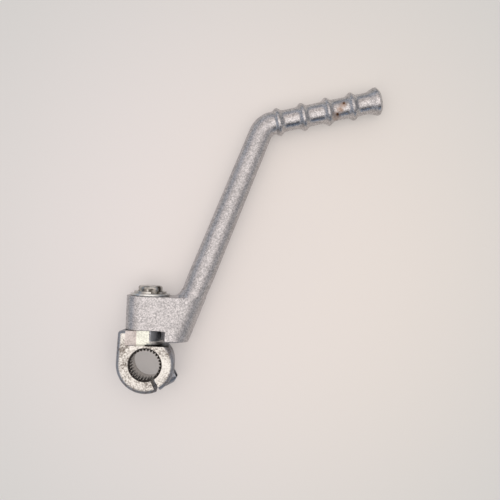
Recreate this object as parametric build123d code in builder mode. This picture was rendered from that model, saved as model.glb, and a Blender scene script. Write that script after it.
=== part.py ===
from build123d import *
import math
import os

# Folding kick start lever, in millimetres, lying on its engine side.
# Origin on the axis of the splined bore, in the plane of the hub's engine-side face.
# +Z runs along the bore to the outer side, +Y along the pivot post towards the arm.

# Clamp hub
hub_thickness = 22.0
hub_radius = 16.25
hub_draft = 5.5
hub_edge_round = 2.8
hub_back_round = 0.8
shoulder_inset = 0.5
shoulder_round = 2.0

# Splined bore
spline_teeth = 29
spline_tip_radius = 7.7
spline_root_radius = 8.8
spline_land_share = 0.36
spline_length = 10.5
washer_seat_radius = 10.3
washer_seat_depth = 0.3

# Pinch slot and pinch holes
slot_angle = -61.0
slot_width = 2.4
pinch_wall = 0.4
pinch_hole_radius = 3.1
pinch_thread_radius = 2.5
pinch_boss_radius = 4.1
pinch_boss_start = 3.7
pinch_boss_proud = 1.95
pinch_seat_inset = 5.05
pinch_seat_radius = 5.1

# Fold joint: the flat joint face and the two stop flats, measured from the pivot axis
joint_face = 18.0
stop_distance = 7.4
stop_flat_left = 5.6
stop_step_left = 11.2
ledge = 10.2
ledge_fillet = 2.2
neck_angle = 50.0
stop_gap = 0.3
joint_gap = 0.3

# Pivot post
post_radius = 6.65
post_clearance = 0.05
post_overhang = 5.6
post_end_round = 1.2

# Thrust washer and retaining ring on the post
washer_radius = 10.9
washer_thickness = 1.3
washer_bore_clearance = 0.15
washer_edge_round = 0.3
end_play = 0.1
ring_radius = 8.9
ring_thickness = 1.1
ring_groove_depth = 0.65
ring_groove_clearance = 0.05
ring_gap_width = 5.0
ring_gap_turn = 26.0

# Pivot block and stop lug of the arm
block_height = 18.7
block_left = 12.6
block_thickness = 19.2
block_side_round = 8.0
block_edge_round = 0.4
flank_width = 10.2
lug_drop = 5.9
lug_bevel_run = 2.4
lug_bevel_depth = 3.7
lug_foot_width = 0.75
lug_corner_rise = 2.0
lug_edge_round = 0.6

# Rod of the arm
rod_lean = 20.0
rod_root_x = 23.4
rod_root_radius = 7.15
rod_root_depth = 8.6
rod_root_inset = 0.3
rod_tip_radius = 6.45
rod_length = 103.6
rod_blend_length = 14.0
root_fillet = 7.0
root_web_thickness = 13.0
root_web_round = 5.0
bend_radius = 10.0

# Foot pedal
pedal_rise = 14.7
pedal_length = 67.4
neck_radius = 6.0
grip_count = 4
grip_first = 8.2
flare_inset = 3.2
grip_radius = 7.85
grip_flank = 40.0
grip_crest_round = 1.5
grip_root_round = 3.0
grip_first_root_round = 1.2
flare_radius = 7.8
flare_run = 4.0
flare_land = 1.6
flare_round = 0.8
dome_height = 0.9
dome_edge_drop = 2.0
dome_round = 1.2

# Detent in the post
ball_radius = 2.5
ball_protrusion = 0.9
ball_clearance = 0.1
track_clearance = 0.15
seat_depth = 0.2
spring_wire = 0.7
spring_mean_radius = 1.85
spring_turns = 4.5
spring_contact_gap = 0.02
detent_hole_past_axis = 3.2

# Worked-out places
pivot_height = hub_thickness / 2
block_bottom = joint_face + joint_gap
block_top = block_bottom + block_height
lug_bottom = block_bottom - lug_drop
lug_face = stop_distance + stop_gap
block_half = block_thickness / 2
washer_bottom = block_top + end_play
ring_bottom = washer_bottom + washer_thickness
post_end = block_top + post_overhang
arm_bore_radius = post_radius + post_clearance
swing_room = 2 * hub_thickness


def pivot_plane(height):
    """Plane across the pivot axis at a height along it: its x is the model's X and its y the outer side."""
    return Plane(origin=(0, height, pivot_height), x_dir=(1, 0, 0), z_dir=(0, -1, 0))


# Slot frame: u crosses the slot along the pinch holes, away from the threaded jaw
slot_direction = Vector(math.cos(math.radians(slot_angle)), math.sin(math.radians(slot_angle)), 0)
screw_direction = Vector(-slot_direction.Y, slot_direction.X, 0)
pinch_distance = spline_root_radius + pinch_wall + pinch_hole_radius
pinch_boss_end = hub_radius - pinch_seat_inset
pinch_boss_reach = hub_radius + pinch_boss_proud
screw_foot = slot_direction * pinch_distance + Vector(0, 0, pivot_height)


def screw_plane(distance):
    """Plane across the pinch holes at a distance from the middle of the slot."""
    return Plane(origin=screw_foot + screw_direction * distance, x_dir=(0, 0, 1), z_dir=screw_direction)


# One gap between two spline teeth, as a wedge from the bore's axis
tooth_pitch = 2 * math.pi / spline_teeth
half_gap = tooth_pitch * (1 - spline_land_share) / 2
half_root = tooth_pitch * spline_land_share / 4
tooth_gap = [
    (0, 0),
    (spline_tip_radius * math.cos(half_gap), -spline_tip_radius * math.sin(half_gap)),
    (spline_root_radius * math.cos(half_root), -spline_root_radius * math.sin(half_root)),
    (spline_root_radius * math.cos(half_root), spline_root_radius * math.sin(half_root)),
    (spline_tip_radius * math.cos(half_gap), spline_tip_radius * math.sin(half_gap)),
]

# Detent: the ball stands out of the post on the side away from the rod, halfway up the block
detent_height = block_bottom + block_height / 2
ball_distance = post_radius + ball_protrusion - ball_radius
detent_plane = Plane(origin=(0, detent_height, pivot_height), x_dir=(0, 1, 0), z_dir=(1, 0, 0))
spring_reach = math.sqrt((ball_radius + spring_wire / 2) ** 2 - spring_mean_radius**2)
spring_start = spring_reach + spring_contact_gap - ball_distance
spring_length = detent_hole_past_axis - spring_wire / 2 - spring_contact_gap - spring_start

# Rod and pedal lie in a plane that droops about the pivot axis, so that the flared end rests on the ground
lean = math.radians(rod_lean)
rise = math.radians(pedal_rise)
bend_turn = 90 - rod_lean - pedal_rise
bend_tangent = bend_radius * math.tan(math.radians(bend_turn / 2))
rod_direction = Vector(math.sin(lean), math.cos(lean), 0)
rod_side = Vector(math.cos(lean), -math.sin(lean), 0)
pedal_direction = Vector(math.cos(rise), math.sin(rise), 0)
rod_root = Vector(rod_root_x, block_top, 0)
bend_corner = rod_root + rod_direction * rod_length
flare_place = pedal_length - flare_inset
flare_x = (bend_corner + pedal_direction * flare_place).X
droop = math.asin((pivot_height - flare_radius) / flare_x)
arm_plane = Plane(
    origin=(0, 0, pivot_height),
    x_dir=(math.cos(droop), 0, -math.sin(droop)),
    z_dir=(math.sin(droop), 0, math.cos(droop)),
)
bend_centre = arm_plane.from_local_coords(
    bend_corner - rod_direction * bend_tangent + rod_side * bend_radius
)
pedal_root = arm_plane.from_local_coords(bend_corner)
pedal_ahead = arm_plane.from_local_coords(bend_corner + pedal_direction)
pedal_plane = Plane(origin=pedal_root, x_dir=pedal_ahead - pedal_root, z_dir=arm_plane.z_dir)


def rod_point(height):
    """Point of the rod's centre line, in the plane of the hub, at a height along the pivot axis."""
    return Vector(rod_root_x + (height - block_top) * math.tan(lean), height, 0)


def rod_plane(distance):
    """Plane across the rod at a distance from the top of the block."""
    place = arm_plane.from_local_coords(rod_root + rod_direction * distance)
    ahead = arm_plane.from_local_coords(rod_root + rod_direction * (distance + 1))
    return Plane(origin=place, x_dir=arm_plane.z_dir, z_dir=ahead - place)


# Rounded flank of the block, in line with the outer side of the rod
rod_root_width = rod_root_radius / math.cos(lean)
flank_left = rod_point(lug_bottom).X + rod_root_width - flank_width
lug_corner = flank_left - lug_foot_width

# Fillet in the angle between the block's top and the rod
web_corner = rod_point(block_top) - Vector(rod_root_width, 0, 0)
web_tangent = root_fillet / math.tan((math.pi / 2 + lean) / 2)
web_foot = web_corner - Vector(web_tangent, 0, 0)
web_head = web_corner + rod_direction * web_tangent
web_sunk = rod_point(block_top - 2 * root_web_round)

# Outline of the pedal along its own axis, with the rounding of each inner corner
grip_pitch = (flare_place - grip_first) / grip_count
flank = math.radians(grip_flank)
crest = grip_radius + grip_crest_round * (1 / math.cos(flank) - 1)
pedal_corners = [(bend_tangent, rod_tip_radius)]
pedal_rounds = []
foot_radius = rod_tip_radius
foot_round = grip_first_root_round
for grip in range(grip_count):
    grip_place = grip_first + grip * grip_pitch
    pedal_corners.append((grip_place - (crest - foot_radius) / math.tan(flank), foot_radius))
    pedal_corners.append((grip_place, crest))
    pedal_corners.append((grip_place + (crest - neck_radius) / math.tan(flank), neck_radius))
    pedal_rounds += [foot_round, grip_crest_round, grip_root_round]
    foot_radius = neck_radius
    foot_round = grip_root_round
pedal_corners += [
    (flare_place - flare_land / 2 - flare_run, neck_radius),
    (flare_place - flare_land / 2, flare_radius),
    (flare_place + flare_land / 2, flare_radius),
    (pedal_length - dome_height, flare_radius - dome_edge_drop),
    (pedal_length, 0),
]
pedal_rounds += [grip_root_round, flare_round, flare_round, dome_round]

# Where the straight left side of the hub meets its round lower side
shoulder_left = hub_radius - shoulder_inset
corner_reach = math.hypot(shoulder_left, joint_face)
tangent_turn = math.degrees(math.acos(hub_radius / corner_reach))
corner_angle = math.degrees(math.atan2(joint_face, -shoulder_left))
side_angle = corner_angle + tangent_turn
side_slope = (-shoulder_left - hub_radius * math.cos(math.radians(side_angle))) / (
    joint_face - hub_radius * math.sin(math.radians(side_angle))
)
draft_inset = hub_thickness * math.tan(math.radians(hub_draft))
raw_top = joint_face + draft_inset + 2 * hub_edge_round
raw_left = -shoulder_left + side_slope * (raw_top - joint_face)

# Clamp hub, forged in one with the pivot post
with BuildPart() as clamp_hub:
    # Boss round the mouth of the clearance hole, rounded off with the hub
    with BuildSketch(screw_plane(pinch_boss_end)):
        Circle(pinch_boss_radius)
    extrude(amount=pinch_boss_start - pinch_boss_end)
    with BuildSketch(Plane.XY):
        Circle(pinch_boss_reach)
    extrude(amount=hub_thickness, mode=Mode.INTERSECT)

    # Round body, drafted towards the engine side from the rounded edge of its outer face
    with BuildSketch(Plane.XY):
        with BuildLine():
            round_side = CenterArc((0, 0), hub_radius, side_angle, 360 + neck_angle - side_angle)
            Polyline(round_side @ 1, ((round_side @ 1).X, raw_top), (raw_left, raw_top), round_side @ 0)
        make_face()
        offset(amount=-draft_inset, kind=Kind.INTERSECTION, mode=Mode.REPLACE)
    extrude(amount=hub_thickness, taper=-hub_draft)
    fillet(faces().sort_by(Axis.Z)[-1].edges(), hub_edge_round)
    fillet(faces().sort_by(Axis.Z)[0].edges(), hub_back_round)
    with BuildSketch(screw_plane(pinch_boss_end)):
        Circle(pinch_seat_radius)
    extrude(amount=hub_radius, mode=Mode.SUBTRACT)

    # Flat joint face with a rounded shoulder, then room for the stop lug round the stop flats
    with BuildSketch(pivot_plane(raw_top)):
        Rectangle(4 * hub_radius, 2 * swing_room)
    extrude(amount=raw_top - joint_face, mode=Mode.SUBTRACT)
    joint_edges = faces().sort_by(Axis.Y)[-1].edges()
    fillet(joint_edges.filter_by_position(Axis.Z, pivot_height, hub_thickness), shoulder_round)
    with BuildSketch(pivot_plane(joint_face)):
        with BuildLine():
            right_flat = Line((stop_distance, -swing_room), (stop_distance, 0))
            round_corner = CenterArc((0, 0), stop_distance, 0, 90)
            outer_flat = Line(round_corner @ 1, (-stop_flat_left, stop_distance))
            step = Line(outer_flat @ 1, (-stop_step_left, hub_thickness - pivot_height))
            Polyline(
                step @ 1,
                (-stop_step_left, swing_room),
                (swing_room, swing_room),
                (swing_room, -swing_room),
                right_flat @ 0,
            )
        make_face()
    extrude(amount=joint_face - ledge, mode=Mode.SUBTRACT)

    # Fillet at the foot of the right stop flat and of the round corner
    with BuildSketch(Plane.XY.offset(pivot_height)) as foot:
        with BuildLine():
            foot_arc = RadiusArc(
                (stop_distance + ledge_fillet, ledge), (stop_distance, ledge + ledge_fillet), ledge_fillet
            )
            Polyline(foot_arc @ 1, (post_radius, ledge + ledge_fillet), (post_radius, ledge), foot_arc @ 0)
        make_face()
    extrude(amount=hub_edge_round - pivot_height)
    revolve(foot.sketch, axis=Axis((0, 0, pivot_height), (0, -1, 0)), revolution_arc=90)

    # Pivot post with its ring groove
    with BuildSketch(pivot_plane(ledge)):
        Circle(post_radius)
    extrude(amount=ledge - post_end)
    fillet(faces().sort_by(Axis.Y)[-1].edges(), post_end_round)
    with BuildSketch(pivot_plane(ring_bottom + ring_thickness + ring_groove_clearance)):
        Circle(post_radius + post_clearance)
        Circle(post_radius - ring_groove_depth, mode=Mode.SUBTRACT)
    extrude(amount=ring_thickness + 2 * ring_groove_clearance, mode=Mode.SUBTRACT)

    # Splined bore: toothed on the outer side, plain relief to the engine side
    with BuildSketch(Plane.XY.offset(hub_thickness)):
        Circle(spline_tip_radius)
        with PolarLocations(0, spline_teeth):
            Polygon(*tooth_gap, align=None)
    extrude(amount=-hub_thickness, mode=Mode.SUBTRACT)
    with BuildSketch(Plane.XY):
        Circle(spline_root_radius)
    extrude(amount=hub_thickness - spline_length, mode=Mode.SUBTRACT)
    with BuildSketch(Plane.XY.offset(hub_thickness)):
        Circle(washer_seat_radius)
    extrude(amount=-washer_seat_depth, mode=Mode.SUBTRACT)

    # Pinch slot, with the clearance hole on one side and the tapping-size hole on the other
    slot_plane = Plane(origin=(0, 0, 0), x_dir=slot_direction, z_dir=(0, 0, 1))
    with BuildSketch(slot_plane):
        with Locations((hub_radius, 0)):
            Rectangle(2 * hub_radius, slot_width)
    extrude(amount=hub_thickness, mode=Mode.SUBTRACT)
    with BuildSketch(screw_plane(0)):
        Circle(pinch_hole_radius)
    extrude(amount=2 * hub_radius, mode=Mode.SUBTRACT)
    with BuildSketch(screw_plane(0)):
        Circle(pinch_thread_radius)
    extrude(amount=-2 * hub_radius, mode=Mode.SUBTRACT)

    # Blind cross hole for the detent
    with BuildSketch(detent_plane.offset(detent_hole_past_axis)):
        Circle(ball_radius + ball_clearance)
    extrude(amount=-2 * post_radius, mode=Mode.SUBTRACT)

# Fillet between the top of the pivot block and the inner side of the rod
with BuildPart() as root_web:
    with BuildSketch(Plane.XY.offset(pivot_height)):
        with BuildLine():
            RadiusArc(web_foot, web_head, -root_fillet)
            Polyline(
                web_head,
                web_head + rod_side * rod_root_radius,
                web_sunk,
                (web_foot.X, web_sunk.Y),
                web_foot,
            )
        make_face()
    extrude(amount=root_web_thickness / 2, both=True)
    fillet(edges().filter_by(GeomType.CIRCLE), root_web_round)

# Kick arm: pivot block with its stop lug, rod, bend and ringed foot pedal in one forging
with BuildPart() as kick_arm:
    with BuildSketch(Plane.XY.offset(pivot_height)):
        with BuildLine():
            Polyline(
                (-block_left, block_bottom),
                (lug_face, block_bottom),
                (lug_face, lug_bottom + lug_corner_rise),
                (lug_corner, lug_bottom),
                (flank_left, lug_bottom),
                (flank_left + (block_top - lug_bottom) * math.tan(lean), block_top),
                (-block_left, block_top),
                close=True,
            )
        make_face()
    extrude(amount=block_half, both=True)
    fillet(edges().filter_by(Axis.Y).group_by(Axis.X)[0], block_side_round)
    ends = faces().filter_by(Axis.Y).sort_by(Axis.Y)[1:]
    fillet([edge for end in ends for edge in end.edges().sort_by(Axis.X)[:-1]], block_edge_round)

    # Rounded outer flank of the block, which runs on up the rod
    with BuildSketch(pivot_plane(lug_bottom)):
        with BuildLine():
            flank_arc = EllipticalCenterArc((flank_left, 0), flank_width, block_half, -90, arc_size=180)
            Polyline(
                flank_arc @ 1,
                (lug_corner, block_half),
                (lug_corner, -block_half),
                flank_arc @ 0,
            )
        make_face()
    extrude(amount=(block_top - lug_bottom) / math.cos(lean), dir=rod_direction)
    fillet(faces().filter_by(Axis.Y).sort_by(Axis.Y)[0].edges().sort_by(Axis.X)[1:], lug_edge_round)
    with BuildSketch(pivot_plane(block_top)):
        with Locations((rod_root_x, 0)):
            Ellipse(rod_root_width - rod_root_inset, rod_root_depth)
    with BuildSketch(rod_plane(rod_blend_length)):
        Circle(rod_root_radius)
    loft()
    with BuildSketch(rod_plane(rod_blend_length)):
        Circle(rod_root_radius)
    with BuildSketch(rod_plane(rod_length - bend_tangent)):
        Circle(rod_tip_radius)
    loft()
    add(root_web.part)

    # Bend between rod and pedal
    with BuildSketch(rod_plane(rod_length - bend_tangent)):
        Circle(rod_tip_radius)
    revolve(axis=Axis(bend_centre, -arm_plane.z_dir), revolution_arc=bend_turn)

    # Pedal with its grip rings, flared and domed at the end
    with BuildSketch(pedal_plane):
        with BuildLine():
            grip_line = FilletPolyline(*pedal_corners, radius=pedal_rounds)
            Polyline(grip_line @ 1, (bend_tangent, 0), grip_line @ 0)
        make_face()
    revolve(axis=Axis(pedal_plane.origin, pedal_plane.x_dir))

    # Inner face of the stop lug with its bevelled edges, the pivot bore and the detent track
    with BuildSketch(pivot_plane(block_bottom)):
        with BuildLine():
            Polyline(
                (lug_face, lug_bevel_depth - block_half),
                (lug_face, block_half - lug_bevel_depth),
                (lug_face + 2 * lug_bevel_run, block_half + lug_bevel_depth),
                (-swing_room, block_half + lug_bevel_depth),
                (-swing_room, -block_half - lug_bevel_depth),
                (lug_face + 2 * lug_bevel_run, -block_half - lug_bevel_depth),
                close=True,
            )
        make_face()
    extrude(amount=swing_room, mode=Mode.SUBTRACT)
    with BuildSketch(pivot_plane(block_top)):
        Circle(arm_bore_radius)
    extrude(amount=block_height, mode=Mode.SUBTRACT)
    with BuildSketch(Plane.XY.offset(pivot_height)):
        with Locations((-ball_distance, detent_height)):
            Circle(ball_radius + track_clearance)
    revolve(axis=Axis((0, 0, pivot_height), (0, 1, 0)), revolution_arc=90, mode=Mode.SUBTRACT)
    seat_distance = ball_distance + seat_depth
    folded_seat = (-seat_distance, detent_height, pivot_height)
    open_seat = (0, detent_height, pivot_height + seat_distance)
    with Locations(folded_seat, open_seat):
        Sphere(ball_radius + track_clearance, mode=Mode.SUBTRACT)

# Thrust washer
with BuildPart() as thrust_washer:
    with BuildSketch(pivot_plane(ring_bottom)):
        Circle(washer_radius)
        Circle(post_radius + washer_bore_clearance, mode=Mode.SUBTRACT)
    extrude(amount=washer_thickness)
    fillet(edges().filter_by(GeomType.CIRCLE).group_by(SortBy.RADIUS)[-1], washer_edge_round)

# Open retaining ring in the post's groove
with BuildPart() as retaining_ring:
    with BuildSketch(pivot_plane(ring_bottom + ring_thickness)):
        Circle(ring_radius)
        Circle(post_radius - ring_groove_depth + ring_groove_clearance, mode=Mode.SUBTRACT)
        with PolarLocations(ring_radius, 1, start_angle=90 - ring_gap_turn):
            Rectangle(2 * ring_radius, ring_gap_width, mode=Mode.SUBTRACT)
    extrude(amount=ring_thickness)

# Detent ball
with BuildPart() as detent_ball:
    with Locations((-ball_distance, detent_height, pivot_height)):
        Sphere(ball_radius)

# Detent spring between the ball and the end of its hole
with BuildPart() as detent_spring:
    with BuildLine():
        coil = Helix(
            pitch=spring_length / spring_turns,
            height=spring_length,
            radius=spring_mean_radius,
            center=(spring_start, detent_height, pivot_height),
            direction=(1, 0, 0),
        )
    with BuildSketch(Plane(origin=coil @ 0, z_dir=coil % 0)):
        Circle(spring_wire / 2)
    sweep(path=coil, is_frenet=True)

os.makedirs("parts", exist_ok=True)
pieces = {
    "clamp_hub": clamp_hub,
    "kick_arm": kick_arm,
    "thrust_washer": thrust_washer,
    "retaining_ring": retaining_ring,
    "detent_ball": detent_ball,
    "detent_spring": detent_spring,
}
for name, piece in pieces.items():
    piece.part.label = name
    export_step(piece.part, f"parts/{name}.step")
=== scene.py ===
import math

import bpy
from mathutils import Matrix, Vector

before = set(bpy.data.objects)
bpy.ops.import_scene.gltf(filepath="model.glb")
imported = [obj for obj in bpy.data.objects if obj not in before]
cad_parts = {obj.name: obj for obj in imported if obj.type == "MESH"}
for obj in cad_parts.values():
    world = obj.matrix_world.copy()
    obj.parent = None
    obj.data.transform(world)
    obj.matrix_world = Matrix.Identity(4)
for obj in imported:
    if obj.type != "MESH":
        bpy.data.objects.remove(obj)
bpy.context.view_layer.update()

bl_info = {
    "name": "Folding kick start lever",
    "version": (1, 0, 0),
    "blender": (4, 5, 0),
    "location": "3D View > Sidebar > Kick lever",
    "description": "Finishes of a folding kick start lever, with a table, soft light and a camera above it",
    "category": "Object",
}

# Sockets of a Mix node, which share their names and so go by number
FACTOR, FLOAT_A, FLOAT_B, COLOUR_A, COLOUR_B = 0, 2, 3, 6, 7
FLOAT_MIX, COLOUR_MIX = 0, 2

# All places and sizes are in metres, in the lever's own frame with the arm folded.
# Pedal: the corner of the bend, its directions, and where along it the rubbed finish starts and is full
BEND_CORNER = (0.05883, 0.13435, 0.00945)
PEDAL_ALONG = (0.96693, 0.25376, -0.02519)
PEDAL_ACROSS = (-0.25376, 0.96726, 0.0)
PEDAL_RUBBED = (0.001, 0.008)

# Rust in the neck before the last ring: place along and across the pedal, and how far each spot reaches
RUST_BLOTS = (
    ((0.0447, 0.0010, 0.0), 0.0034),
    ((0.0424, -0.0012, 0.0), 0.0038),
    ((0.0398, -0.0040, 0.0), 0.0042),
)
RUST_PITS = (
    ((0.0452, 0.0018, 0.0), 0.0011),
    ((0.0406, -0.0033, 0.0), 0.0011),
)
BLOT_CORE, PIT_CORE = 0.0, 0.3  # share of its reach in which a spot is full
RUST_HEIGHT = (0.008, 0.010)  # heights between which it starts, since it is on the upper side only

# Parts of the hub with a finish of their own, between a least and a most on the axes that bound them
HUB_ZONES = {
    "flat": (("X", -0.0056, 0.02), ("Y", 0.01025, 0.02), ("Z", 0.01828, 0.03)),
    "slope": (("X", -0.01125, -0.0056), ("Y", 0.01025, 0.02), ("Z", 0.01828, 0.03)),
    "corner_shade": (("X", 0.0022, 0.0076), ("Y", 0.0125, 0.0181), ("Z", -0.01, 0.01828)),
    "ledge": (("X", 0.0, 0.02), ("Y", 0.0107, 0.0125), ("Z", -0.01, 0.01828)),
    "foot": (("X", -0.0008, 0.02), ("Y", 0.0101, 0.0107), ("Z", 0.014, 0.0219)),
    "teeth": (("Z", 0.0115, 0.0219),),
    "relief": (("Z", -0.001, 0.0115),),
    "post": (("Y", 0.01805, 0.1),),
}
# Radii about the bore, and heights for the rim, between which one finish passes into the next
TIP_EDGE = (0.0078, 0.0080)
BORE_EDGE = (0.0090, 0.0095)
RIM_EDGE = (0.0118, 0.0126)
RIM_TOP = (0.0216, 0.022)

# Pinch hole: its middle, its direction and a radius just over that of its thread
PINCH_FOOT = (0.00596, -0.01076, 0.011)
PINCH_ALONG = (0.87462, 0.48481, 0.0)
PINCH_THREAD = 0.00255

# Widths and depths of patterns
PLATE_CLOUD, RUST_CREEP, GRIT_DEPTH = 0.012, 0.0019, 0.00018
GRIME_PATCH, POST_STAIN, DENT_DEPTH = 0.009, 0.004, 0.0005

# Table: half its side, where it turns from cool to warm, and over what distance from the middle it is painted
# greyer as the light falls off
TABLE_HALF = 3.0
TABLE_TURN = (-0.06, 0.18)
TABLE_FALLOFF = (0.04, 0.26)
# How far the softbox hangs in front of the camera
SOFTBOX_FORWARD = 0.1

# Patches of the room: the way to each from the lever, and degrees from there to its full part and its edge
ROOM_PATCHES = {
    "front": ((0.2, -0.80, 0.54), 16, 29),
    "window": ((0.45, -0.88, 0.19), 5, 12),
}


def linear(code):
    """Linear colour of an sRGB hex code."""
    parts = [int(code[place : place + 2], 16) / 255 for place in (1, 3, 5)]
    return tuple(part / 12.92 if part <= 0.04045 else ((part + 0.055) / 1.055) ** 2.4 for part in parts)


def colour_setting(name, description, code):
    """A colour that a user may change, with its sRGB hex code as default."""
    return bpy.props.FloatVectorProperty(
        name=name, description=description, subtype="COLOR", min=0, max=1, default=linear(code)
    )


def opaque(colour):
    """The same colour with full opacity, as colour sockets take it."""
    return (*colour, 1.0)


def add_node(tree, kind, inputs=None, **settings):
    """Adds a node with its settings; an input is a value, or a socket that gets linked to it."""
    made = tree.nodes.new(kind)
    for name, value in settings.items():
        setattr(made, name, value)
    for name, value in (inputs or {}).items():
        if isinstance(value, bpy.types.NodeSocket):
            tree.links.new(value, made.inputs[name])
        else:
            made.inputs[name].default_value = value
    return made


def blank_metal(name):
    """A new metal: itself, its node tree, its shader and the place on the lever as a vector."""
    metal = bpy.data.materials.new(name)
    metal.use_nodes = True
    tree = metal.node_tree
    tree.nodes.clear()
    shader = add_node(tree, "ShaderNodeBsdfPrincipled", {"Metallic": 1.0})
    add_node(tree, "ShaderNodeOutputMaterial", {"Surface": shader.outputs["BSDF"]})
    place = add_node(tree, "ShaderNodeTexCoord").outputs["Object"]
    return metal, tree, shader, place


def scuffed_metal(name, colour, scuff, detail, spread, darkest, roughness):
    """A metal with one colour, darkened and made rough or smooth by scuffs of a given width."""
    metal, tree, shader, place = blank_metal(name)
    marks = add_node(
        tree, "ShaderNodeTexNoise", {"Vector": place, "Scale": 1 / scuff, "Detail": detail}
    ).outputs["Fac"]
    tone = add_node(
        tree,
        "ShaderNodeMapRange",
        {"Value": marks, "From Min": spread[0], "From Max": spread[1], "To Min": darkest, "To Max": 1.0},
    ).outputs["Result"]
    toned = add_node(
        tree,
        "ShaderNodeMix",
        {FACTOR: 1.0, COLOUR_A: opaque(colour), COLOUR_B: tone},
        data_type="RGBA",
        blend_type="MULTIPLY",
    ).outputs[COLOUR_MIX]
    tree.links.new(toned, shader.inputs["Base Color"])
    rough = add_node(
        tree, "ShaderNodeMapRange", {"Value": marks, "To Min": roughness[0], "To Max": roughness[1]}
    ).outputs["Result"]
    tree.links.new(rough, shader.inputs["Roughness"])
    return metal


def dress(node, metal):
    """Gives a solid of the frame its metal."""
    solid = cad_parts.get(node)
    if solid is None:
        raise RuntimeError(f"the frame has no solid named {node}")
    solid.data.materials.clear()
    solid.data.materials.append(metal)


class ArmFinish(bpy.types.PropertyGroup):
    """Finish of the arm, from its pivot block to its pedal."""

    plate_light: colour_setting("Plate, light", "Zinc crystals that face the light", "#D3D0D1")
    plate_dark: colour_setting("Plate, dark", "Zinc crystals that face away", "#9A999A")
    rust: colour_setting("Rust", "Rust that has crept out of a worn neck of the pedal", "#A88468")
    rust_pit: colour_setting("Rust pit", "Dark pits in the rust", "#66452F")
    spangle: bpy.props.FloatProperty(
        name="Spangle", description="Width of one zinc crystal as it shows", unit="LENGTH", default=0.00055
    )
    grit: bpy.props.FloatProperty(
        name="Grit",
        description="Width of the pits left by blasting, as they show",
        unit="LENGTH",
        default=0.0005,
    )


class HubFinish(bpy.types.PropertyGroup):
    """Finish of the clamp hub and its pivot post."""

    skin: colour_setting("Forged skin", "Plated skin of the forging", "#DAD8D3")
    grime: colour_setting("Grime", "Old oil and dust in the dents of the skin", "#5A4839")
    machined: colour_setting("Machined flat", "Bright milled stop flat", "#D0D2C8")
    # Oil and painted shade: near black in the valleys of the teeth, where the bore's shade falls
    oil_and_valley_shade: colour_setting("Oily teeth", "Dark oil between the teeth of the splined bore", "#171412")
    tooth_tip: colour_setting("Tips of the teeth", "Rubbed metal on the tips of the teeth", "#857F79")
    # Rim: painted shade with a bluish reflection on the hub's rounded sides, under the grime
    rim_shade: colour_setting("Rim", "Plate round the outside of the hub, rubbed by boot and hand", "#999DA5")
    # Scale: dull forged skin, painted near white to lift the slope out of the shade under the arm's block
    scale: colour_setting("Scale", "Dull forging scale on the slope beside the stop flat", "#F8EEE9")
    # Stop corner: painted shade on the round corner under the lug, in place of its shadow
    corner_shade: colour_setting("Stop corner", "Oil film on the round corner that the lug swings over", "#6A6D72")
    ledge: colour_setting("Ledge", "Bare metal of the ledge under the stop corner", "#BCBAB8")
    relief: colour_setting("Bore relief", "Bored metal behind the teeth", "#C2BCB6")
    # Grime at the foot: grime and painted shade in the crease under the ledge
    grime_and_crease_shade: colour_setting("Grime at the foot", "Black grime at the foot of the ledge", "#3A3430")
    post_dark: colour_setting("Pivot post, stained", "Oil stains on the post's end", "#48443F")
    post: colour_setting("Pivot post", "Bare turned steel of the post's end", "#C4C1BC")
    dent: bpy.props.FloatProperty(
        name="Dent", description="Width of the dents of the forged skin", unit="LENGTH", default=0.00085
    )
    thread_pitch: bpy.props.FloatProperty(
        name="Thread pitch", description="Pitch of the thread in the pinch hole", unit="LENGTH", default=0.001
    )


class SmallSteelFinish(bpy.types.PropertyGroup):
    """Finish of the washer, the retaining ring, the ball and the spring."""

    washer: colour_setting("Washer", "Bright zinc plate of the thrust washer", "#D4D4D2")
    ring: colour_setting("Ring", "Bare spring steel of the retaining ring", "#C6C4C0")
    ball: colour_setting("Ball", "Ground bearing steel of the detent ball", "#C4C4C4")
    wire: colour_setting("Spring wire", "Drawn wire of the detent spring", "#8C8C8E")


class StageSet(bpy.types.PropertyGroup):
    """Table, light and camera."""

    table_left: colour_setting("Table, left", "Cool side of the pale table", "#ECE6E4")
    table_right: colour_setting("Table, right", "Warm side of the pale table", "#EDE6DF")
    # Painted falloff of the light: the table greys away from the lever
    table_falloff_shade: colour_setting("Table, edge", "Table away from the lever", "#D7D8D6")
    shadow_fill: bpy.props.FloatProperty(
        name="Shadow fill",
        description="Share of the table's colour that shows in shadow",
        subtype="FACTOR",
        default=0.3,
    )
    ceiling: colour_setting("Ceiling", "Pale ceiling of the room", "#FCF1EA")
    wall_left: colour_setting("Left wall", "Cool wall to the left", "#9FAFC4")
    wall_right: colour_setting("Right wall", "Darker wall to the right", "#949CA8")
    horizon: colour_setting("Horizon", "Foot of the walls, where the table ends", "#C2C1BC")
    front: colour_setting("Front", "Dark front, which draws a dark line along the pedal", "#363A42")
    window: colour_setting("Window", "Low window that tints the lower right edges", "#86AEE0")
    camera_place: bpy.props.FloatVectorProperty(
        name="Camera",
        description="Where the camera looks straight down from",
        subtype="TRANSLATION",
        unit="LENGTH",
        default=(0.0541, 0.0646, 0.400),
    )
    camera_turn: bpy.props.FloatProperty(
        name="Camera turn",
        description="Turn of the camera about its view",
        subtype="ANGLE",
        default=math.radians(2.5),
    )
    lens: bpy.props.FloatProperty(
        name="Lens", description="Focal length on a 36 mm wide sensor", unit="CAMERA", default=50.5
    )
    softbox_side: bpy.props.FloatProperty(
        name="Softbox", description="Side of the square softbox overhead", unit="LENGTH", default=0.8
    )
    softbox_height: bpy.props.FloatProperty(
        name="Softbox height", description="Height of the softbox above the table", unit="LENGTH", default=0.7
    )
    softbox_power: bpy.props.FloatProperty(
        name="Softbox power", description="Power of the softbox", unit="POWER", default=1.35
    )


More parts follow.
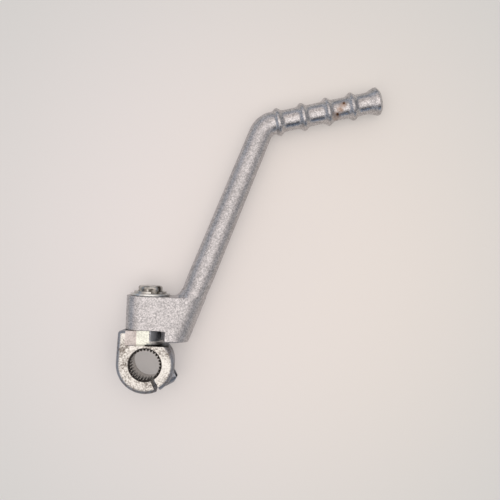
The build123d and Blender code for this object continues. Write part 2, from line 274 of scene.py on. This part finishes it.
class FinishArm(bpy.types.Operator):
    """Plates the arm: satin and sparkling on block and rod, rubbed bright on the pedal, rusty in one neck."""

    bl_idname = "kick_lever.finish_arm"
    bl_label = "Finish the arm"

    def execute(self, context):
        look = context.scene.kick_lever_arm
        # Steel forging, blasted and then zinc plated: a satin grey with a fine crystal sparkle,
        # rubbed smoother and brighter on the pedal. Crystals and blasting pits are usually a tenth of a
        # millimetre or two wide, and are drawn about half a millimetre wide so that they show.
        metal, tree, shader, place = blank_metal("zinc_plated_blasted_forging")
        crystal = add_node(tree, "ShaderNodeTexVoronoi", {"Vector": place, "Scale": 1 / look.spangle})
        shade = add_node(tree, "ShaderNodeSeparateColor", {"Color": crystal.outputs["Color"]})
        grit = add_node(
            tree,
            "ShaderNodeTexNoise",
            {"Vector": place, "Scale": 1 / look.grit, "Detail": 3.0, "Roughness": 0.65},
        ).outputs["Fac"]
        cloud = add_node(
            tree, "ShaderNodeTexNoise", {"Vector": place, "Scale": 1 / PLATE_CLOUD, "Detail": 2.0}
        ).outputs["Fac"]

        # Distance along and across the pedal from the corner of the bend
        from_corner = add_node(
            tree, "ShaderNodeVectorMath", {0: place, 1: BEND_CORNER}, operation="SUBTRACT"
        ).outputs["Vector"]
        along, across = (
            add_node(
                tree, "ShaderNodeVectorMath", {0: from_corner, 1: direction}, operation="DOT_PRODUCT"
            ).outputs["Value"]
            for direction in (PEDAL_ALONG, PEDAL_ACROSS)
        )
        rubbed = add_node(
            tree,
            "ShaderNodeMapRange",
            {"Value": along, "From Min": PEDAL_RUBBED[0], "From Max": PEDAL_RUBBED[1]},
            interpolation_type="SMOOTHSTEP",
        ).outputs["Result"]

        # Zinc: crystals of different shade, a little cloudy
        zinc = add_node(
            tree,
            "ShaderNodeMix",
            {
                FACTOR: shade.outputs["Red"],
                COLOUR_A: opaque(look.plate_dark),
                COLOUR_B: opaque(look.plate_light),
            },
            data_type="RGBA",
        ).outputs[COLOUR_MIX]
        clouded = add_node(
            tree,
            "ShaderNodeMapRange",
            {"Value": cloud, "From Min": 0.3, "From Max": 0.7, "To Min": 0.93, "To Max": 1.04},
        ).outputs["Result"]
        plate = add_node(
            tree,
            "ShaderNodeMix",
            {FACTOR: 1.0, COLOUR_A: zinc, COLOUR_B: clouded},
            data_type="RGBA",
            blend_type="MULTIPLY",
        ).outputs[COLOUR_MIX]

        # Rust between and round two dark pits, in a slanting row across the neck
        on_pedal = add_node(tree, "ShaderNodeCombineXYZ", {"X": along, "Y": across}).outputs["Vector"]
        height = add_node(tree, "ShaderNodeSeparateXYZ", {"Vector": place}).outputs["Z"]
        upper = add_node(
            tree,
            "ShaderNodeMapRange",
            {"Value": height, "From Min": RUST_HEIGHT[0], "From Max": RUST_HEIGHT[1]},
            interpolation_type="SMOOTHSTEP",
        ).outputs["Result"]
        masks = []
        for spots, core in ((RUST_BLOTS, BLOT_CORE), (RUST_PITS, PIT_CORE)):
            mask = None
            for centre, reach in spots:
                away = add_node(
                    tree, "ShaderNodeVectorMath", {0: on_pedal, 1: centre}, operation="DISTANCE"
                ).outputs["Value"]
                spot = add_node(
                    tree,
                    "ShaderNodeMapRange",
                    {"Value": away, "From Min": core * reach, "From Max": reach, "To Min": 1.0, "To Max": 0.0},
                    interpolation_type="SMOOTHSTEP",
                ).outputs["Result"]
                if mask is None:
                    mask = spot
                else:
                    mask = add_node(tree, "ShaderNodeMath", {0: mask, 1: spot}, operation="MAXIMUM").outputs[0]
            masks.append(
                add_node(tree, "ShaderNodeMath", {0: mask, 1: upper}, operation="MULTIPLY").outputs[0]
            )
        blotted, pitted = masks
        creep = add_node(
            tree,
            "ShaderNodeTexNoise",
            {"Vector": place, "Scale": 1 / RUST_CREEP, "Detail": 4.0, "Roughness": 0.7},
        ).outputs["Fac"]
        crept = add_node(tree, "ShaderNodeMath", {0: blotted, 1: creep}, operation="MULTIPLY").outputs[0]
        rusty = add_node(
            tree, "ShaderNodeMapRange", {"Value": crept, "From Min": 0.1, "From Max": 0.7, "To Max": 0.85}
        ).outputs["Result"]
        colour = plate
        for mask, tint in ((rusty, look.rust), (pitted, look.rust_pit)):
            colour = add_node(
                tree,
                "ShaderNodeMix",
                {FACTOR: mask, COLOUR_A: colour, COLOUR_B: opaque(tint)},
                data_type="RGBA",
            ).outputs[COLOUR_MIX]
        tree.links.new(colour, shader.inputs["Base Color"])

        # Roughness: satin on the blasted metal, smoother where the boot has rubbed it, dull in the rust
        satin = add_node(
            tree, "ShaderNodeMapRange", {"Value": shade.outputs["Green"], "To Min": 0.34, "To Max": 0.52}
        ).outputs["Result"]
        smooth = add_node(
            tree, "ShaderNodeMapRange", {"Value": grit, "To Min": 0.2, "To Max": 0.36}
        ).outputs["Result"]
        worn = add_node(
            tree, "ShaderNodeMix", {FACTOR: rubbed, FLOAT_A: satin, FLOAT_B: smooth}, data_type="FLOAT"
        ).outputs[FLOAT_MIX]
        rough = add_node(
            tree, "ShaderNodeMix", {FACTOR: rusty, FLOAT_A: worn, FLOAT_B: 0.7}, data_type="FLOAT"
        ).outputs[FLOAT_MIX]
        tree.links.new(rough, shader.inputs["Roughness"])

        # Blasting pits
        bump = add_node(tree, "ShaderNodeBump", {"Strength": 0.5, "Distance": GRIT_DEPTH, "Height": grit})
        tree.links.new(bump.outputs["Normal"], shader.inputs["Normal"])
        dress("kick_arm", metal)
        return {"FINISHED"}


class FinishHub(bpy.types.Operator):
    """Finishes the hub: grimy forged skin, painted shade on the rim and stop corner, bright stop flat, oily
    teeth with painted shade in their valleys and a turned post.
    """

    bl_idname = "kick_lever.finish_hub"
    bl_label = "Finish the clamp hub"

    def execute(self, context):
        look = context.scene.kick_lever_hub
        # Steel forging, zinc plated over its rough skin: pale and dented, with brown grime in the dents;
        # the milled flat shines, the teeth are black with oil and painted shade in their valleys, and the post
        # is bare turned steel.
        # The dents are drawn coarser than such a skin usually has them, so that they show.
        metal, tree, shader, place = blank_metal("zinc_plated_rough_forging")
        split = add_node(tree, "ShaderNodeSeparateXYZ", {"Vector": place})
        dents = add_node(
            tree,
            "ShaderNodeTexNoise",
            {"Vector": place, "Scale": 1 / look.dent, "Detail": 5.0, "Roughness": 0.75},
        ).outputs["Fac"]
        patches = add_node(
            tree, "ShaderNodeTexNoise", {"Vector": place, "Scale": 1 / GRIME_PATCH, "Detail": 3.0}
        ).outputs["Fac"]

        # Grime gathers in the dents of some patches, and less of it on the scale
        low = add_node(
            tree, "ShaderNodeMath", {0: patches, 1: 0.55, 2: dents}, operation="MULTIPLY_ADD"
        ).outputs[0]
        dirty = add_node(
            tree,
            "ShaderNodeMapRange",
            {"Value": low, "From Min": 0.6, "From Max": 0.84, "To Min": 0.85, "To Max": 0.0},
            interpolation_type="SMOOTHSTEP",
        ).outputs["Result"]
        lightly = add_node(tree, "ShaderNodeMath", {0: dirty, 1: 0.45}, operation="MULTIPLY").outputs[0]

        # Zones with straight sides: the milled stop flat, the slope beside it, painted lighter, the round
        # corner, painted dark as its shade, the ledge and the line of grime and painted shade at its foot, the
        # teeth, the relief behind them and the post
        zones = {}
        for zone, sides in HUB_ZONES.items():
            inside = None
            for axis, least, most in sides:
                over = add_node(
                    tree, "ShaderNodeMath", {0: split.outputs[axis], 1: least}, operation="GREATER_THAN"
                ).outputs[0]
                under = add_node(
                    tree, "ShaderNodeMath", {0: split.outputs[axis], 1: most}, operation="LESS_THAN"
                ).outputs[0]
                between = add_node(
                    tree, "ShaderNodeMath", {0: over, 1: under}, operation="MULTIPLY"
                ).outputs[0]
                if inside is None:
                    inside = between
                else:
                    inside = add_node(
                        tree, "ShaderNodeMath", {0: inside, 1: between}, operation="MULTIPLY"
                    ).outputs[0]
            zones[zone] = inside

        # Zones about the bore's axis: teeth and relief within it, and the rim outside and below the face, in
        # painted shade
        flattened = add_node(
            tree, "ShaderNodeVectorMath", {0: place, 1: (1.0, 1.0, 0.0)}, operation="MULTIPLY"
        ).outputs["Vector"]
        from_axis = add_node(
            tree, "ShaderNodeVectorMath", {0: flattened}, operation="LENGTH"
        ).outputs["Value"]
        off_tip, off_bore, outside, on_face = (
            add_node(
                tree,
                "ShaderNodeMapRange",
                {"Value": measure, "From Min": edge[0], "From Max": edge[1]},
                interpolation_type="SMOOTHSTEP",
            ).outputs["Result"]
            for measure, edge in (
                (from_axis, TIP_EDGE),
                (from_axis, BORE_EDGE),
                (from_axis, RIM_EDGE),
                (split.outputs["Z"], RIM_TOP),
            )
        )
        in_bore, zones["rim_shade"] = (
            add_node(tree, "ShaderNodeMath", {0: 1.0, 1: beyond}, operation="SUBTRACT").outputs[0]
            for beyond in (off_bore, on_face)
        )
        for zone, round_axis in (("teeth", in_bore), ("relief", in_bore), ("rim_shade", outside)):
            zones[zone] = add_node(
                tree, "ShaderNodeMath", {0: zones[zone], 1: round_axis}, operation="MULTIPLY"
            ).outputs[0]

        # Colours that change within a zone
        stains = add_node(
            tree, "ShaderNodeTexNoise", {"Vector": place, "Scale": 1 / POST_STAIN, "Detail": 4.0}
        ).outputs["Fac"]
        unstained = add_node(
            tree,
            "ShaderNodeMapRange",
            {"Value": stains, "From Min": 0.36, "From Max": 0.64},
            interpolation_type="SMOOTHSTEP",
        ).outputs["Result"]
        skin, rim_shade, scale, teeth, post = (
            add_node(
                tree,
                "ShaderNodeMix",
                {FACTOR: share, COLOUR_A: opaque(first), COLOUR_B: opaque(second)},
                data_type="RGBA",
            ).outputs[COLOUR_MIX]
            for share, first, second in (
                (dirty, look.skin, look.grime),
                (dirty, look.rim_shade, look.grime),
                (lightly, look.scale, look.grime),
                # Rubbed tips, and valleys painted near black with oil and shade
                (off_tip, look.tooth_tip, look.oil_and_valley_shade),
                (unstained, look.post_dark, look.post),
            )
        )
        colour = skin
        for zone, tint in (
            # Painted shade with a bluish reflection round the hub's rounded sides
            ("rim_shade", rim_shade),
            ("flat", opaque(look.machined)),
            # Slope painted lighter against its shade under the block
            ("slope", scale),
            # Painted shade on the round stop corner under the lug
            ("corner_shade", opaque(look.corner_shade)),
            ("ledge", opaque(look.ledge)),
            # Grime and painted shade in the crease at the foot of the ledge
            ("foot", opaque(look.grime_and_crease_shade)),
            ("teeth", teeth),
            ("relief", opaque(look.relief)),
            ("post", post),
        ):
            colour = add_node(
                tree,
                "ShaderNodeMix",
                {FACTOR: zones[zone], COLOUR_A: colour, COLOUR_B: tint},
                data_type="RGBA",
            ).outputs[COLOUR_MIX]
        tree.links.new(colour, shader.inputs["Base Color"])

        # Cut metal is smooth, the skin is rougher where it is dirty
        cut = zones["flat"]
        for zone in ("teeth", "relief", "post"):
            cut = add_node(tree, "ShaderNodeMath", {0: cut, 1: zones[zone]}, operation="MAXIMUM").outputs[0]
        skin_rough = add_node(
            tree, "ShaderNodeMapRange", {"Value": dirty, "To Min": 0.3, "To Max": 0.6}
        ).outputs["Result"]
        rough = add_node(
            tree, "ShaderNodeMix", {FACTOR: cut, FLOAT_A: skin_rough, FLOAT_B: 0.16}, data_type="FLOAT"
        ).outputs[FLOAT_MIX]
        tree.links.new(rough, shader.inputs["Roughness"])

        # Grime and scale are no metal
        dull = add_node(
            tree, "ShaderNodeMath", {0: dirty, 1: zones["slope"]}, operation="MAXIMUM"
        ).outputs[0]
        metallic = add_node(
            tree, "ShaderNodeMapRange", {"Value": dull, "To Min": 1.0, "To Max": 0.2}
        ).outputs["Result"]
        tree.links.new(metallic, shader.inputs["Metallic"])

        # Thread in the far jaw of the pinch hole, as ridges across the hole's direction
        from_hole = add_node(
            tree, "ShaderNodeVectorMath", {0: place, 1: PINCH_FOOT}, operation="SUBTRACT"
        ).outputs["Vector"]
        down_hole = add_node(
            tree, "ShaderNodeVectorMath", {0: from_hole, 1: PINCH_ALONG}, operation="DOT_PRODUCT"
        ).outputs["Value"]
        square_on = add_node(
            tree, "ShaderNodeVectorMath", {0: from_hole, 1: PINCH_ALONG}, operation="CROSS_PRODUCT"
        ).outputs["Vector"]
        beside_hole = add_node(
            tree, "ShaderNodeVectorMath", {0: square_on}, operation="LENGTH"
        ).outputs["Value"]
        in_thread = add_node(
            tree, "ShaderNodeMath", {0: beside_hole, 1: PINCH_THREAD}, operation="LESS_THAN"
        ).outputs[0]
        half_pitch = look.thread_pitch / 2
        rise = add_node(
            tree, "ShaderNodeMath", {0: down_hole, 1: half_pitch}, operation="PINGPONG"
        ).outputs[0]
        ridge = add_node(tree, "ShaderNodeMath", {0: rise, 1: half_pitch}, operation="DIVIDE").outputs[0]
        thread = add_node(tree, "ShaderNodeMath", {0: ridge, 1: in_thread}, operation="MULTIPLY").outputs[0]

        # Dents of the skin, with none where it is cut
        uncut = add_node(tree, "ShaderNodeMath", {0: 1.0, 1: cut}, operation="SUBTRACT").outputs[0]
        height = add_node(
            tree, "ShaderNodeMath", {0: dents, 1: uncut, 2: thread}, operation="MULTIPLY_ADD"
        ).outputs[0]
        bump = add_node(tree, "ShaderNodeBump", {"Strength": 0.4, "Distance": DENT_DEPTH, "Height": height})
        tree.links.new(bump.outputs["Normal"], shader.inputs["Normal"])
        dress("clamp_hub", metal)
        return {"FINISHED"}


class FinishWasher(bpy.types.Operator):
    """Finishes the thrust washer in bright zinc plate, scuffed by the ring."""

    bl_idname = "kick_lever.finish_washer"
    bl_label = "Finish the thrust washer"

    def execute(self, context):
        look = context.scene.kick_lever_small
        # Stamped steel washer, bright zinc plated: clean and shiny, with scuffs from ring and arm.
        metal = scuffed_metal(
            "bright_zinc_plated_washer",
            look.washer,
            scuff=0.0012,
            detail=3.0,
            spread=(0.3, 0.7),
            darkest=0.82,
            roughness=(0.2, 0.42),
        )
        dress("thrust_washer", metal)
        return {"FINISHED"}


class FinishRing(bpy.types.Operator):
    """Finishes the retaining ring in bare spring steel."""

    bl_idname = "kick_lever.finish_ring"
    bl_label = "Finish the retaining ring"

    def execute(self, context):
        look = context.scene.kick_lever_small
        # Stamped spring steel, tumbled: grey and shiny, darker in its scratches.
        metal = scuffed_metal(
            "tumbled_spring_steel",
            look.ring,
            scuff=0.0009,
            detail=4.0,
            spread=(0.3, 0.7),
            darkest=0.78,
            roughness=(0.18, 0.38),
        )
        dress("retaining_ring", metal)
        return {"FINISHED"}


class FinishDetent(bpy.types.Operator):
    """Finishes the detent ball and its spring inside the post."""

    bl_idname = "kick_lever.finish_detent"
    bl_label = "Finish the detent"

    def execute(self, context):
        look = context.scene.kick_lever_small
        for node, name, colour, roughness in (
            # Ground bearing steel: close to a mirror, with faint rolling marks.
            ("detent_ball", "ground_bearing_steel", look.ball, (0.06, 0.18)),
            # Drawn and oiled spring wire: dark grey with a dull sheen.
            ("detent_spring", "oiled_drawn_wire", look.wire, (0.3, 0.48)),
        ):
            metal = scuffed_metal(
                name, colour, scuff=0.0008, detail=2.0, spread=(0.0, 1.0), darkest=0.8, roughness=roughness
            )
            dress(node, metal)
        return {"FINISHED"}


class SetStage(bpy.types.Operator):
    """Lays the table under the lever and sets the soft light, the room and the camera above it."""

    bl_idname = "kick_lever.set_stage"
    bl_label = "Set the stage"

    def execute(self, context):
        scene = context.scene
        look = scene.kick_lever_stage
        middle_x, middle_y, _ = look.camera_place

        # Painted table top: matt and pale, cooler to the left, warmer to the right, and painted greyer away
        # from the lever as the light falls off
        mesh = bpy.data.meshes.new("table")
        mesh.from_pydata(
            [(x * TABLE_HALF, y * TABLE_HALF, 0) for x, y in ((-1, -1), (1, -1), (1, 1), (-1, 1))],
            [],
            [(0, 1, 2, 3)],
        )
        table = bpy.data.objects.new("table", mesh)
        scene.collection.objects.link(table)
        paint = bpy.data.materials.new("matt_white_paint")
        paint.use_nodes = True
        tree = paint.node_tree
        tree.nodes.clear()
        place = add_node(tree, "ShaderNodeTexCoord").outputs["Object"]
        side = add_node(tree, "ShaderNodeSeparateXYZ", {"Vector": place}).outputs["X"]
        from_middle = add_node(
            tree, "ShaderNodeVectorMath", {0: place, 1: (middle_x, middle_y, 0.0)}, operation="DISTANCE"
        ).outputs["Value"]
        colour = opaque(look.table_left)
        for measure, (start, end), tint in (
            (side, TABLE_TURN, look.table_right),
            (from_middle, TABLE_FALLOFF, look.table_falloff_shade),
        ):
            change = add_node(
                tree,
                "ShaderNodeMapRange",
                {"Value": measure, "From Min": start, "From Max": end},
                interpolation_type="SMOOTHSTEP",
            ).outputs["Result"]
            colour = add_node(
                tree,
                "ShaderNodeMix",
                {FACTOR: change, COLOUR_A: colour, COLOUR_B: opaque(tint)},
                data_type="RGBA",
            ).outputs[COLOUR_MIX]

        # Where the eye or a reflection sees the table, a share of its colour shows without light, which
        # keeps the shadows pale there; to all other rays the table is paint alone
        coat = add_node(tree, "ShaderNodeBsdfPrincipled", {"Base Color": colour, "Roughness": 0.85})
        fill = add_node(tree, "ShaderNodeEmission", {"Color": colour})
        path = add_node(tree, "ShaderNodeLightPath")
        seen = path.outputs["Is Camera Ray"]
        for ray in ("Is Glossy Ray", "Is Transmission Ray"):
            seen = add_node(
                tree, "ShaderNodeMath", {0: seen, 1: path.outputs[ray]}, operation="MAXIMUM"
            ).outputs[0]
        share = add_node(
            tree, "ShaderNodeMath", {0: seen, 1: look.shadow_fill}, operation="MULTIPLY"
        ).outputs[0]
        both = add_node(
            tree, "ShaderNodeMixShader", {0: share, 1: coat.outputs["BSDF"], 2: fill.outputs["Emission"]}
        )
        add_node(tree, "ShaderNodeOutputMaterial", {"Surface": both.outputs["Shader"]})
        mesh.materials.append(paint)

        # Softbox overhead, a little to the front
        lamp = bpy.data.lights.new("softbox", "AREA")
        lamp.size = look.softbox_side
        lamp.energy = look.softbox_power
        softbox = bpy.data.objects.new("softbox", lamp)
        softbox.location = (middle_x, middle_y - SOFTBOX_FORWARD, look.softbox_height)
        scene.collection.objects.link(softbox)

        # Room: pale ceiling, cool wall to the left and darker one to the right, a dark front and a cool window,
        # and a pale band where the table ends
        room = bpy.data.worlds.new("room")
        scene.world = room
        room.use_nodes = True
        tree = room.node_tree
        tree.nodes.clear()
        towards = add_node(tree, "ShaderNodeTexCoord").outputs["Generated"]
        split = add_node(tree, "ShaderNodeSeparateXYZ", {"Vector": towards})
        rightward, overhead, above_table = (
            add_node(
                tree,
                "ShaderNodeMapRange",
                {"Value": split.outputs[axis], "From Min": start, "From Max": end},
                interpolation_type="SMOOTHSTEP",
            ).outputs["Result"]
            for axis, start, end in (("X", -0.7, 0.7), ("Z", 0.2, 0.82), ("Z", 0.09, 0.16))
        )
        layers = [(rightward, look.wall_right), (overhead, look.ceiling)]
        for name, (direction, full, edge) in ROOM_PATCHES.items():
            facing = add_node(
                tree,
                "ShaderNodeVectorMath",
                {0: towards, 1: Vector(direction).normalized()},
                operation="DOT_PRODUCT",
            ).outputs["Value"]
            patch = add_node(
                tree,
                "ShaderNodeMapRange",
                {
                    "Value": facing,
                    "From Min": math.cos(math.radians(edge)),
                    "From Max": math.cos(math.radians(full)),
                },
                interpolation_type="SMOOTHSTEP",
            ).outputs["Result"]
            layers.append((patch, getattr(look, name)))
        walls = opaque(look.wall_left)
        for layer, tint in layers:
            walls = add_node(
                tree,
                "ShaderNodeMix",
                {FACTOR: layer, COLOUR_A: walls, COLOUR_B: opaque(tint)},
                data_type="RGBA",
            ).outputs[COLOUR_MIX]
        walls = add_node(
            tree,
            "ShaderNodeMix",
            {FACTOR: above_table, COLOUR_A: opaque(look.horizon), COLOUR_B: walls},
            data_type="RGBA",
        ).outputs[COLOUR_MIX]
        glow = add_node(tree, "ShaderNodeBackground", {"Color": walls, "Strength": 1.0})
        add_node(tree, "ShaderNodeOutputWorld", {"Surface": glow.outputs["Background"]})

        # Camera straight above
        view = bpy.data.cameras.new("camera")
        view.sensor_width = 36.0
        view.lens = look.lens
        camera = bpy.data.objects.new("camera", view)
        camera.location = look.camera_place
        camera.rotation_euler = (0.0, 0.0, look.camera_turn)
        scene.collection.objects.link(camera)
        scene.camera = camera
        scene.view_settings.view_transform = "Standard"
        return {"FINISHED"}


class KickLeverPanel(bpy.types.Panel):
    """Finishes and stage of the kick lever."""

    bl_idname = "VIEW3D_PT_kick_lever"
    bl_label = "Kick lever"
    bl_space_type = "VIEW_3D"
    bl_region_type = "UI"
    bl_category = "Kick lever"

    def draw(self, context):
        for group, operators in (
            (context.scene.kick_lever_arm, (FinishArm,)),
            (context.scene.kick_lever_hub, (FinishHub,)),
            (context.scene.kick_lever_small, (FinishWasher, FinishRing, FinishDetent)),
            (context.scene.kick_lever_stage, (SetStage,)),
        ):
            box = self.layout.box()
            for name in group.__annotations__:
                box.prop(group, name)
            for operator in operators:
                box.operator(operator.bl_idname)


GROUPS = {
    "kick_lever_arm": ArmFinish,
    "kick_lever_hub": HubFinish,
    "kick_lever_small": SmallSteelFinish,
    "kick_lever_stage": StageSet,
}
OPERATORS = (FinishArm, FinishHub, FinishWasher, FinishRing, FinishDetent, SetStage)


def register():
    for made in (*GROUPS.values(), *OPERATORS, KickLeverPanel):
        bpy.utils.register_class(made)
    for name, group in GROUPS.items():
        setattr(bpy.types.Scene, name, bpy.props.PointerProperty(type=group))


def unregister():
    for name in GROUPS:
        delattr(bpy.types.Scene, name)
    for made in (KickLeverPanel, *reversed(OPERATORS), *reversed(GROUPS.values())):
        bpy.utils.unregister_class(made)


def main():
    register()
    bpy.ops.kick_lever.finish_arm()
    bpy.ops.kick_lever.finish_hub()
    bpy.ops.kick_lever.finish_washer()
    bpy.ops.kick_lever.finish_ring()
    bpy.ops.kick_lever.finish_detent()
    bpy.ops.kick_lever.set_stage()


if __name__ == "__main__":
    main()
